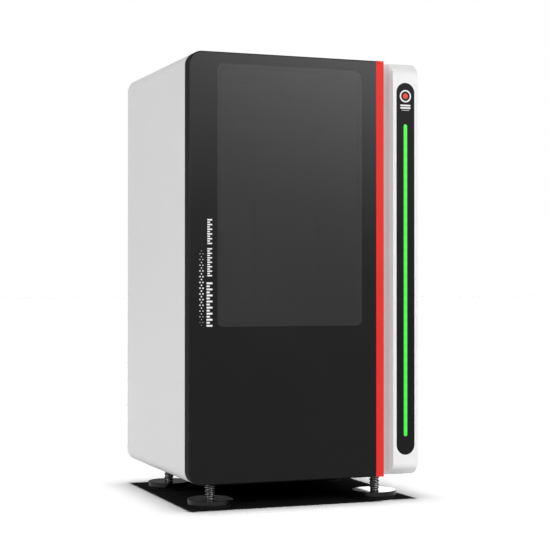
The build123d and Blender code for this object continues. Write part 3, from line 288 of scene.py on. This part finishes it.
def turned_black(name, centre, color=(0.006, 0.006, 0.0065)):
    """Black-chromed steel that was faced on a lathe: fine rings round an upright axis."""
    material, tree, shader = blank(name)
    place = add_node(tree, "ShaderNodeTexCoord").outputs["Object"]
    axis = (centre[0], centre[1], 0.0)
    shifted = add_node(tree, "ShaderNodeVectorMath", {0: place, 1: axis}, operation="SUBTRACT").outputs[0]
    level = (1.0, 1.0, 0.0)
    flat = add_node(tree, "ShaderNodeVectorMath", {0: shifted, 1: level}, operation="MULTIPLY").outputs[0]
    radius = add_node(tree, "ShaderNodeVectorMath", {0: flat}, operation="LENGTH").outputs["Value"]
    drift = noise(tree, place, 35.0, 3.0)
    inputs = {0: drift, 1: RING_WANDER, 2: radius}
    wobble = add_node(tree, "ShaderNodeMath", inputs, operation="MULTIPLY_ADD").outputs[0]
    rings = add_node(tree, "ShaderNodeMath", {0: wobble, 1: RING_RATE}, operation="MULTIPLY").outputs[0]
    groove = add_node(tree, "ShaderNodeMath", {0: rings}, operation="SINE").outputs[0]
    tone = blend_colors(tree, spread(tree, drift, 0.0, 1.0), shade(color, 0.93), shade(color, 1.05))
    tree.links.new(tone, shader.inputs["Base Color"])
    tree.links.new(spread(tree, drift, 0.04, 0.08), shader.inputs["Roughness"])
    bump = add_node(tree, "ShaderNodeBump", {"Height": groove, "Distance": 0.001 * MM, "Strength": 0.3})
    tree.links.new(bump.outputs["Normal"], shader.inputs["Normal"])
    set_shader(shader, {"IOR": 1.5, "Specular IOR Level": 0.25})
    return material


LAMP_STEP = 16.0 * MM       # from one lamp behind the diffuser to the next


def glow(low, high):
    """The lit diffuser: green, a little brighter over each lamp behind it."""
    material, tree, shader = blank("green_glow")
    place = add_node(tree, "ShaderNodeTexCoord").outputs["Object"]
    height = add_node(tree, "ShaderNodeSeparateXYZ", {"Vector": place}).outputs["Z"]
    per_metre = 2 * math.pi / LAMP_STEP
    turn = add_node(tree, "ShaderNodeMath", {0: height, 1: per_metre}, operation="MULTIPLY").outputs[0]
    pulse = add_node(tree, "ShaderNodeMath", {0: turn}, operation="COSINE").outputs[0]
    factor = spread(tree, pulse, 0.0, 1.0, -1.0, 1.0)
    tone = blend_colors(tree, factor, low, high)
    tree.links.new(tone, shader.inputs["Emission Color"])
    tree.links.new(spread(tree, noise(tree, place, 900.0), 0.35, 0.45), shader.inputs["Roughness"])
    set_shader(shader, {"Base Color": (0.02, 0.12, 0.02, 1.0), "Emission Strength": 0.74,
                        "Specular IOR Level": 0.3})
    return material


def circuit_board():
    """Green solder mask over a maze of tracks, with small gold pads."""
    material, tree, shader = blank("circuit_board")
    place = add_node(tree, "ShaderNodeTexCoord").outputs["Object"]
    tracks = add_node(tree, "ShaderNodeTexVoronoi", {"Vector": place, "Scale": 170.0}, distance="MANHATTAN",
                      feature="F1").outputs["Distance"]
    lines = add_node(tree, "ShaderNodeMath", {0: tracks, 1: 34.0}, operation="MULTIPLY").outputs[0]
    wave = add_node(tree, "ShaderNodeMath", {0: lines}, operation="SINE").outputs[0]
    maze = spread(tree, wave, 0.0, 1.0, 0.2, 0.5)
    base = blend_colors(tree, maze, (0.008, 0.075, 0.03, 1.0), (0.02, 0.16, 0.06, 1.0))
    dots = add_node(tree, "ShaderNodeTexVoronoi", {"Vector": place, "Scale": 240.0}).outputs["Distance"]
    pads = spread(tree, dots, 1.0, 0.0, 0.14, 0.17)
    tree.links.new(blend_colors(tree, pads, base, (0.75, 0.55, 0.22, 1.0)), shader.inputs["Base Color"])
    tree.links.new(spread(tree, maze, 0.32, 0.45), shader.inputs["Roughness"])
    bump = add_node(tree, "ShaderNodeBump", {"Height": maze, "Distance": 0.04 * MM})
    tree.links.new(bump.outputs["Normal"], shader.inputs["Normal"])
    return material


def clear_sheet(name, color, alpha, rough=0.08):
    material = finish(name, color, rough, mottle=0.02, mottle_scale=12.0, grain_scale=60.0,
                      grain=0.004, swing=0.03)
    set_shader(material.node_tree.nodes["Principled BSDF"], {"Alpha": alpha})
    return material


def masking_screen():
    """The dark screen: a fine grid of cells under glass."""
    material, tree, shader = blank("masking_screen")
    place = add_node(tree, "ShaderNodeTexCoord").outputs["Object"]
    cells = add_node(tree, "ShaderNodeTexBrick", {"Vector": place, "Scale": 900.0, "Mortar Size": 0.04,
                     "Color1": (0.010, 0.011, 0.018, 1.0), "Color2": (0.014, 0.013, 0.022, 1.0),
                     "Mortar": (0.004, 0.004, 0.006, 1.0)}, offset=0.0).outputs["Color"]
    tree.links.new(cells, shader.inputs["Base Color"])
    tree.links.new(spread(tree, noise(tree, place, 14.0), 0.04, 0.12), shader.inputs["Roughness"])
    return material


def floor_coat():
    """A nearly black coat. The floor looks white only because of its own strong lamp."""
    material = finish("floor_coat", (0.015, 0.015, 0.015), 0.8, mottle=0.004, mottle_scale=1.5,
                      grain_scale=200.0, grain=0.02, swing=0.05)
    set_shader(material.node_tree.nodes["Principled BSDF"], {"Specular IOR Level": 0.0})
    return material


def dress(material, *names):
    """Give CAD nodes a material."""
    for name in names:
        slots = NODES[name].material_slots
        if not slots:
            NODES[name].data.materials.append(material)
        for slot in NODES[name].material_slots:
            slot.material = material


def soften(width, *names):
    """Round the hard edges of CAD nodes by a width in millimetres."""
    for name in names:
        node = NODES[name]
        weld = node.modifiers.new("weld", "WELD")
        weld.merge_threshold = 0.002 * MM
        bevel = node.modifiers.new("bevel", "BEVEL")
        bevel.width = width * MM
        bevel.segments = 2
        bevel.limit_method = "ANGLE"
        bevel.angle_limit = math.radians(40)
        bevel.harden_normals = True


FEET = ("front_left", "front_right", "rear_left", "rear_right")


def dress_nodes():
    dress(white_coat(), "cabinet_shell", "front_frame")
    dress(white_moulding(), "front_column")
    dress(door_black(), "door_shell")
    dress(gloss_black("lens_black", 0.3, (0.010, 0.010, 0.0103), 0.04), "status_panel")
    dress(tinted_pane(), "door_window")
    dress(black_grain(), "door_liner", "power_inlet", "data_ports", "rocker_switch")
    dress(black_grain("black_soft_grain", 1100.0), "vat_knob_left", "vat_knob_right", "platform_knob",
          "fan_frame", "fan_impeller")
    dress(red_satin(), "handle_strip")
    dress(glow((0.035, 0.94, 0.035, 1.0), (0.045, 1.0, 0.045, 1.0)), "light_strip")
    dress(rubber(), "door_seal", *[f"foot_rubber_{place}" for place in FEET])
    dress(grey_coat(), "rear_panel", "base_plate", "power_supply")
    dress(pale_coat(), "chamber_liner", "deck_plate")
    dress(brushed("brushed_upright", (0.55, 0.555, 0.57), 2), "z_rails", "vat_studs")
    dress(brushed("brushed_across", (0.50, 0.505, 0.52), 0), "rail_blocks", "hinge_brackets", "hinge_leaves",
          "hinge_pins", "door_magnets", "foot_lock_nuts", "panel_screws")
    dress(bead_blasted(), "resin_vat", "build_platform", "z_carriage", "z_backplate", "screw_bearing")
    dress(bead_blasted("blasted_dark", (0.30, 0.305, 0.32)), "shaft_coupling")
    dress(dark_anodised(), "light_engine", "heatsink", "z_motor")
    dress(masking_screen(), "lcd_screen")
    dress(clear_sheet("release_film", (0.85, 0.88, 0.90), 0.18), "vat_film")
    dress(clear_sheet("lens_plate", (0.90, 0.93, 0.95), 0.3), "collimator_lens")
    dress(circuit_board(), "led_board", "control_board")
    dress(brass(), "screw_nut")
    for place in FEET:
        low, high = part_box(f"foot_pad_{place}")
        dress(turned_black(f"turned_{place}", (low + high) / 2), f"foot_pad_{place}")
    soften(0.5, "door_liner", "resin_vat", "build_platform", "z_carriage", "power_inlet", "front_column")
    soften(0.25, "rail_blocks", "screw_bearing", "data_ports", "light_strip", "status_panel")


# ---------------------------------------------------------------- meshes

def mesh_piece(name, vertices, faces, material, body, smooth_angle=None):
    """A mesh that rides on a body, with the material it is given."""
    mesh = bpy.data.meshes.new(name)
    mesh.from_pydata(vertices, [], faces)
    mesh.validate()
    if smooth_angle is not None:
        mesh.polygons.foreach_set("use_smooth", [True] * len(mesh.polygons))
        mesh.set_sharp_from_angle(angle=math.radians(smooth_angle))
    mesh.materials.append(material)
    piece = bpy.data.objects.new(name, mesh)
    SCENE.collection.objects.link(piece)
    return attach(piece, body)


class Solid:
    """Vertices and faces gathered from several closed forms."""

    def __init__(self):
        self.vertices = []
        self.faces = []

    def prism(self, outline, front, back):
        """A flat form seen from the front: outline is (across, up) points, front and back are depths."""
        first = len(self.vertices)
        count = len(outline)
        self.vertices += [(x, front, z) for x, z in outline]
        self.vertices += [(x, back, z) for x, z in outline]
        self.faces.append([first + i for i in range(count)])
        self.faces.append([first + count + i for i in reversed(range(count))])
        for i in range(count):
            j = (i + 1) % count
            self.faces.append([first + i, first + count + i, first + count + j, first + j])

    def ring(self, middle, outer, inner, front, back, count=64):
        """A flat ring seen from the front."""
        first = len(self.vertices)
        for depth in (front, back):
            for radius in (outer, inner):
                for x, z in circle(middle, radius, count):
                    self.vertices.append((x, depth, z))
        for i in range(count):
            j = (i + 1) % count
            a, b, c, d = (first + k * count for k in range(4))
            self.faces.append([a + i, a + j, b + j, b + i])
            self.faces.append([c + i, d + i, d + j, c + j])
            self.faces.append([a + i, c + i, c + j, a + j])
            self.faces.append([b + i, b + j, d + j, d + i])


def circle(middle, radius, count=24):
    """Points round a circle seen from the front."""
    angles = [2 * math.pi * i / count for i in range(count)]
    return [(middle[0] + radius * math.cos(a), middle[1] + radius * math.sin(a)) for a in angles]


def bar(x, z, corner, count=5):
    """A rectangle with rounded corners seen from the front."""
    points = []
    corners = ((x[1], z[1], 0), (x[0], z[1], 90), (x[0], z[0], 180), (x[1], z[0], 270))
    for corner_x, corner_z, start in corners:
        inward_x = -corner if corner_x == x[1] else corner
        inward_z = -corner if corner_z == z[1] else corner
        for i in range(count):
            angle = math.radians(start + 90 * i / (count - 1))
            points.append((corner_x + inward_x + corner * math.cos(angle),
                           corner_z + inward_z + corner * math.sin(angle)))
    return points


# ---------------------------------------------------------------- printed marks

INK = 0.05 * MM


def door_dots():
    """A tapering halftone column on the door: single dots and pairs by turns, largest half way up."""
    low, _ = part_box("door_shell")
    middle = low.x + 22.3 * MM
    side = 2.7 * MM
    rows = 27
    bottom, top = low.z + 278.0 * MM, low.z + 407.0 * MM
    dots = Solid()
    for row in range(rows):
        share = row / (rows - 1)
        radius = (0.45 + 0.95 * math.sin(math.pi * share)) * MM
        height = bottom + (top - bottom) * share
        columns = (0.0,) if row % 2 == 0 else (-side, side)
        for offset in columns:
            dots.prism(circle((middle + offset, height), radius, 20), low.y - INK, low.y)
    mesh_piece("door_dots", dots.vertices, dots.faces, ink("dot_ink", PRINT_WHITE),
               "door")


def door_ladder():
    """A plain scale up the door: long and short bars by turns, in three runs, the lowest a little wider."""
    low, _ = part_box("door_shell")
    bars = Solid()
    # start, end, left and right in millimetres from the door's lower left corner, and the bars in the run
    runs = (
        (419.0, 462.5, 33.0, 41.8, 11),
        (363.0, 412.0, 33.0, 41.8, 13),
        (275.5, 352.5, 31.6, 42.4, 15),
    )
    for start, end, left, right, count in runs:
        step = (end - start) / (count - 0.4)
        for index in range(count):
            height = low.z + (start + index * step) * MM
            length = right - left if index % 2 == 0 else 0.55 * (right - left)
            x = (low.x + left * MM, low.x + (left + length) * MM)
            bars.prism(bar(x, (height, height + 0.6 * step * MM), 0.5 * MM), low.y - INK, low.y)
    mesh_piece("door_ladder", bars.vertices, bars.faces, ink("ladder_ink", PRINT_WHITE),
               "door")


def column_mark():
    """A ring round a dot and three short bars, printed on the column's lens."""
    low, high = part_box("status_panel")
    face = low.y
    middle = ((low.x + high.x) / 2, high.z - 24.5 * MM)
    white = Solid()
    white.ring(middle, 11.4 * MM, 8.8 * MM, face - INK, face)
    for drop, height, half in ((15.6, 3.0, 10.2), (20.2, 3.0, 10.2), (25.4, 1.0, 8.0)):
        top = middle[1] - drop * MM
        x = (middle[0] - half * MM, middle[0] + half * MM)
        white.prism(bar(x, (top - height * MM, top), 0.7 * MM), face - INK, face)
    mesh_piece("column_mark_white", white.vertices, white.faces, ink("mark_white", PRINT_WHITE),
               "cabinet")
    red = Solid()
    red.prism(circle(middle, 5.2 * MM, 48), face - INK, face)
    mesh_piece("column_mark_red", red.vertices, red.faces, ink("mark_red", (0.62, 0.03, 0.028)),
               "cabinet")


# ---------------------------------------------------------------- threads

FLANK = 0.30                # share of a pitch that each sloped side of the thread takes
CREST = 0.18                # and that its flat top takes; the rest is the root


def thread_radius(turns, core, crest):
    """Radius along a trapezoid thread's section; turns counts pitches."""
    share = turns % 1.0
    rise = share / FLANK
    fall = (2 * FLANK + CREST - share) / FLANK
    return core + (crest - core) * max(0.0, min(1.0, rise, fall))


def threaded_rod(name, node, body, material, core, pitch, plain, around=40, per_pitch=14):
    """A rod with a right-hand thread that stands for a CAD node. Plain is the smooth length at its foot."""
    low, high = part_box(node)
    middle = (low + high) / 2
    crest = (high.x - low.x) / 2
    bottom, top = low.z, high.z
    run_out = 1.2 * MM      # the thread fades in and out over this length
    levels = [bottom, bottom + plain]
    step = pitch / per_pitch
    height = bottom + plain
    while height + step < top:
        height += step
        levels.append(height)
    levels.append(top)
    vertices = []
    for level in levels:
        to_end = min(level - bottom - plain, top - level)
        fade = min(1.0, max(0.0, to_end / run_out))
        for i in range(around):
            angle = 2 * math.pi * i / around
            turns = (level - bottom) / pitch - i / around
            radius = core + (thread_radius(turns, core, crest) - core) * fade
            vertices.append((middle.x + radius * math.cos(angle), middle.y + radius * math.sin(angle), level))
    faces = [list(reversed(range(around)))]
    for ring in range(len(levels) - 1):
        base = ring * around
        for i in range(around):
            j = (i + 1) % around
            faces.append([base + i, base + j, base + around + j, base + around + i])
    last = (len(levels) - 1) * around
    faces.append([last + i for i in range(around)])
    piece = mesh_piece(name, vertices, faces, material, body, smooth_angle=50)
    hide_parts(node)


def make_threads():
    oxide = black_oxide()
    for place in FEET:
        threaded_rod(f"stud_{place}", f"foot_stud_{place}", f"stud_{place}", oxide,
                     core=7.4 * MM, pitch=6.5 * MM, plain=6.8 * MM)
    ground_steel = brushed("ground_screw", (0.62, 0.625, 0.64), 2, 0.2)
    threaded_rod("lead_screw_thread", "lead_screw", "screw", ground_steel,
                 core=4.2 * MM, pitch=5.0 * MM, plain=16.0 * MM, around=28, per_pitch=8)


# ---------------------------------------------------------------- studio

FLOOR_LIGHT = 207.0         # strength of the lamp straight above the floor, which makes its dark coat white
FLOOR_LAMP_WIDTH = math.radians(9)          # the wider it is, the softer the shadow's edge
FLOOR_REACH = 40.0          # from the object to the floor's edges
GAP_LIGHT = 0.8             # strength of the lamp from the left, for the gap beside the pull strip
GAP_LAMP_WIDTH = math.radians(20)
GAP_TINT = (0.72, 1.0, 1.0)                 # it evens out the strip's red on the column


def lamp_for(name, target, strength, width, turn):
    """A far lamp that lights one object only."""
    light = bpy.data.lights.new(f"{name}_light", "SUN")
    light.energy = strength
    light.angle = width
    lamp = bpy.data.objects.new(f"{name}_light", light)
    lamp.rotation_euler = turn
    SCENE.collection.objects.link(lamp)
    receivers = bpy.data.collections.new(f"{name}_receivers")
    receivers.objects.link(target)
    lamp.light_linking.receiver_collection = receivers
    return light


def make_floor():
    """A plain floor that looks pale: a dark coat under a strong overhead lamp that lights nothing else.
    The walls hardly light so dark a coat, which keeps the shadow black."""
    reach = FLOOR_REACH
    corners = [(-reach, -reach, 0), (reach, -reach, 0), (reach, reach, 0), (-reach, reach, 0)]
    mesh = bpy.data.meshes.new("floor")
    mesh.from_pydata(corners, [], [[0, 1, 2, 3]])
    mesh.materials.append(floor_coat())
    floor = bpy.data.objects.new("floor", mesh)
    SCENE.collection.objects.link(floor)
    lamp_for("floor", floor, FLOOR_LIGHT, FLOOR_LAMP_WIDTH, (0.0, 0.0, 0.0))


SKY_SIDE = 3.15             # radiance of the studio's walls, which light the object
SKY_FRONT = 1.45            # the same in front of the object, as a share of that
SKY_TOP = 0.12              # and overhead
MIRROR_WALL = 0.95          # radiance of the walls as the gloss surfaces mirror them
MIRROR_BACK = 0.15          # share of that behind the object
FRONT_BOX = 27.0            # radiance of the softbox that the door mirrors
BACK_BOX = 4.2              # of the one behind, which the feet mirror
LEFT_BOX = 6.0              # and of the one that lights up round edges on the left


def softbox(tree, direction, turn, width, heights):
    """How much of a soft-edged panel is seen in a direction. It stands turned from the front by an angle."""
    across = (math.cos(turn), math.sin(turn), 0.0)
    ahead = (math.sin(turn), -math.cos(turn), 0.0)
    dot = {"operation": "DOT_PRODUCT"}
    aside = add_node(tree, "ShaderNodeVectorMath", {0: direction, 1: across}, **dot).outputs["Value"]
    facing = add_node(tree, "ShaderNodeVectorMath", {0: direction, 1: ahead}, **dot).outputs["Value"]
    height = add_node(tree, "ShaderNodeSeparateXYZ", {"Vector": direction}).outputs["Z"]
    off_middle = add_node(tree, "ShaderNodeMath", {0: aside}, operation="ABSOLUTE").outputs[0]
    start, full, fade, end = heights
    return times(tree, ramp(tree, off_middle, 0.1 * width, width, 1.0, 0.0),
                 ramp(tree, height, start, full, 0.0, 1.0), ramp(tree, height, fade, end, 1.0, 0.0),
                 ramp(tree, facing, 0.0, 0.3, 0.0, 1.0))


def make_sky():
    """The surroundings, by kind of ray: plain white to the camera; to matt surfaces, walls that are dark
    near the floor and dim overhead; to gloss surfaces, a dimmer wall with three softboxes in it."""
    world = bpy.data.worlds.new("studio")
    world.use_nodes = True
    tree = world.node_tree
    ground = tree.nodes["Background"]
    direction = add_node(tree, "ShaderNodeTexCoord").outputs["Generated"]
    parts = add_node(tree, "ShaderNodeSeparateXYZ", {"Vector": direction})
    depth, height = parts.outputs["Y"], parts.outputs["Z"]
    walls = times(tree, ramp(tree, height, 0.2, 0.42, 0.0, SKY_SIDE),
                  ramp(tree, height, 0.4, 0.68, 1.0, SKY_TOP), ramp(tree, depth, -0.9, -0.3, SKY_FRONT, 1.0))
    mirrored = times(tree, MIRROR_WALL, ramp(tree, height, 0.2, 0.9, 1.0, SKY_TOP),
                     ramp(tree, depth, -0.2, 0.5, 1.0, MIRROR_BACK))
    # radiance, degrees from the front, half-width, and the heights where it starts, is full, fades and ends
    boxes = (
        (FRONT_BOX, 35, 0.5, (0.02, 0.42, 0.28, 0.42)),
        (BACK_BOX, 150, 0.2, (0.0, 0.08, 0.25, 0.4)),
        (LEFT_BOX, -80, 0.2, (0.0, 0.05, 0.3, 0.7)),
    )
    for radiance, turn, width, heights in boxes:
        box = times(tree, radiance, softbox(tree, direction, math.radians(turn), width, heights))
        mirrored = add_node(tree, "ShaderNodeMath", {0: mirrored, 1: box}, operation="ADD").outputs[0]
    path = add_node(tree, "ShaderNodeLightPath").outputs
    inputs = {"Value": path["Is Glossy Ray"], "To Min": walls, "To Max": mirrored}
    unseen = add_node(tree, "ShaderNodeMapRange", inputs).outputs["Result"]
    inputs = {"Value": path["Is Camera Ray"], "To Min": unseen, "To Max": 1.0}
    strength = add_node(tree, "ShaderNodeMapRange", inputs).outputs["Result"]
    tree.links.new(strength, ground.inputs["Strength"])
    ground.inputs["Color"].default_value = (1.0, 1.0, 1.0, 1.0)
    SCENE.world = world


def make_studio():
    SCENE.view_settings.view_transform = "Standard"
    SCENE.view_settings.look = "None"
    make_floor()
    from_left = (0.0, -math.radians(90), 0.0)
    gap_light = lamp_for("gap", NODES["front_column"], GAP_LIGHT, GAP_LAMP_WIDTH, from_left)
    gap_light.use_shadow = False
    gap_light.color = GAP_TINT
    make_sky()


make_camera()
dress_nodes()
door_dots()
door_ladder()
column_mark()
make_threads()
make_studio()
